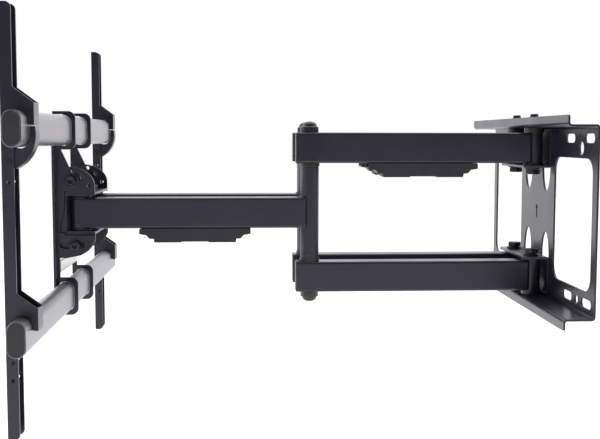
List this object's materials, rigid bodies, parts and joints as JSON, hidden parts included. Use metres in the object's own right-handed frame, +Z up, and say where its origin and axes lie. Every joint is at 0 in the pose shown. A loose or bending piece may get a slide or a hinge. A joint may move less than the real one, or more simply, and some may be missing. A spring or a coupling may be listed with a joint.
{
  "type": "full motion tv wall mount",
  "caption": "Steel wall plate with folding side-by-side arms and a tilting head whose silver rails carry two screen brackets with latches.",
  "frame": {"origin": "centre of the wall plate's flat back face, in the plane of the wall", "axes": "+Z up, +Y into the wall, so the mount stands out to -Y; X along the wall"},
  "size_m": [0.688, 0.6555, 0.456],
  "materials": {
    "black_powder_coat": "fine texture powder coat, satin",
    "rail_aluminium": "silver anodised, matt",
    "cap_plastic": "moulded, matt",
    "cover_plastic": "moulded, fine grain",
    "trim_plastic": "moulded, matt",
    "bush_nylon": "black nylon",
    "zinc_steel": "zinc plated",
    "black_cap": "glossy black",
    "black_oxide_steel": "black oxide",
    "latch_steel": "fine texture powder coat, satin"
  },
  "bodies": {
    "wall": {"wall_plate": "black_powder_coat", "upper_pivot_bracket": "black_powder_coat", "lower_pivot_bracket": "black_powder_coat", "wall_pivot_bolts": "black_oxide_steel", "wall_pivot_nuts": "black_oxide_steel", "wall_pivot_washers": "black_oxide_steel", "wall_outer_bushes": "bush_nylon", "wall_inner_bushes": "bush_nylon"},
    "right_rear_arm": {"right_upper_rear_tube": "black_powder_coat", "right_lower_rear_tube": "black_powder_coat", "right_wall_barrels": "black_powder_coat", "right_rear_end_plugs": "trim_plastic", "right_elbow_bolt": "zinc_steel", "right_elbow_caps": "black_cap", "right_rear_cable_cover": "cover_plastic"},
    "right_front_arm": {"right_front_tube": "black_powder_coat", "right_elbow_barrel": "black_powder_coat", "right_head_barrel": "black_powder_coat", "right_front_cable_cover": "cover_plastic", "right_elbow_bushes": "bush_nylon"},
    "left_rear_arm": {"left_upper_rear_tube": "black_powder_coat", "left_lower_rear_tube": "black_powder_coat", "left_wall_barrels": "black_powder_coat", "left_rear_end_plugs": "trim_plastic", "left_elbow_bolt": "zinc_steel", "left_elbow_caps": "black_cap", "left_rear_cable_cover": "cover_plastic"},
    "left_front_arm": {"left_front_tube": "black_powder_coat", "left_elbow_barrel": "black_powder_coat", "left_head_barrel": "black_powder_coat", "left_front_cable_cover": "cover_plastic", "left_elbow_bushes": "bush_nylon"},
    "head": {"head_channel": "black_powder_coat", "right_head_ear": "black_powder_coat", "left_head_ear": "black_powder_coat", "head_pivot_bolts": "black_oxide_steel", "head_pivot_nuts": "black_oxide_steel", "head_pivot_washers": "bush_nylon", "tilt_bolts": "black_oxide_steel", "tilt_lock_bolts": "black_oxide_steel", "tilt_nuts": "black_oxide_steel", "tilt_washers": "black_oxide_steel", "tilt_friction_discs": "bush_nylon"},
    "tilt_frame": {"right_mast": "black_powder_coat", "left_mast": "black_powder_coat", "upper_rail": "rail_aluminium", "lower_rail": "rail_aluminium", "rail_end_caps": "cap_plastic", "rail_screws": "black_oxide_steel", "mast_spacer_bar": "zinc_steel"},
    "right_screen_hanger": {"right_screen_bracket": "black_powder_coat", "right_hook_liners": "trim_plastic", "right_latch_pin": "black_oxide_steel"},
    "right_latch": {"right_latch_jaw": "latch_steel"},
    "left_screen_hanger": {"left_screen_bracket": "black_powder_coat", "left_hook_liners": "trim_plastic", "left_latch_pin": "black_oxide_steel"},
    "left_latch": {"left_latch_jaw": "latch_steel"}
  },
  "joints": [
    {"name": "arm_fold", "type": "hinge", "parent": "wall", "child": "right_rear_arm", "pos_m": [0.042, -0.021, 0], "axis": [0, 0, 1], "range_deg": [0, 78]},
    {"name": "right_elbow", "type": "hinge", "parent": "right_rear_arm", "child": "right_front_arm", "pos_m": [0.042, -0.321, 0], "axis": [0, 0, 1], "range_deg": [-156, 0]},
    {"name": "head_swivel", "type": "hinge", "parent": "right_front_arm", "child": "head", "pos_m": [0.042, -0.621, 0], "axis": [0, 0, 1], "range_deg": [0, 78]},
    {"name": "left_shoulder", "type": "hinge", "parent": "wall", "child": "left_rear_arm", "pos_m": [-0.042, -0.021, 0], "axis": [0, 0, 1], "range_deg": [-78, 0]},
    {"name": "left_elbow", "type": "hinge", "parent": "left_rear_arm", "child": "left_front_arm", "pos_m": [-0.042, -0.321, 0], "axis": [0, 0, 1], "range_deg": [0, 156]},
    {"name": "screen_tilt", "type": "hinge", "parent": "head", "child": "tilt_frame", "pos_m": [0, -0.629, 0.043], "axis": [1, 0, 0], "range_deg": [-5, 10]},
    {"name": "right_bracket_slide", "type": "slide", "parent": "tilt_frame", "child": "right_screen_hanger", "axis": [1, 0, 0], "range_m": [-0.2, 0.022]},
    {"name": "left_bracket_slide", "type": "slide", "parent": "tilt_frame", "child": "left_screen_hanger", "axis": [1, 0, 0], "range_m": [-0.022, 0.2]},
    {"name": "right_latch_swing", "type": "hinge", "parent": "right_screen_hanger", "child": "right_latch", "pos_m": [0.3, -0.648, 0.073], "axis": [1, 0, 0], "range_deg": [-60, 0]},
    {"name": "left_latch_swing", "type": "hinge", "parent": "left_screen_hanger", "child": "left_latch", "pos_m": [-0.3, -0.648, 0.073], "axis": [1, 0, 0], "range_deg": [-60, 0]}
  ],
  "couplings": [
    {"joint": "right_elbow", "follows": "arm_fold", "ratio": -2},
    {"joint": "head_swivel", "follows": "arm_fold", "ratio": 1},
    {"joint": "left_shoulder", "follows": "arm_fold", "ratio": -1},
    {"joint": "left_elbow", "follows": "arm_fold", "ratio": 2}
  ]
}
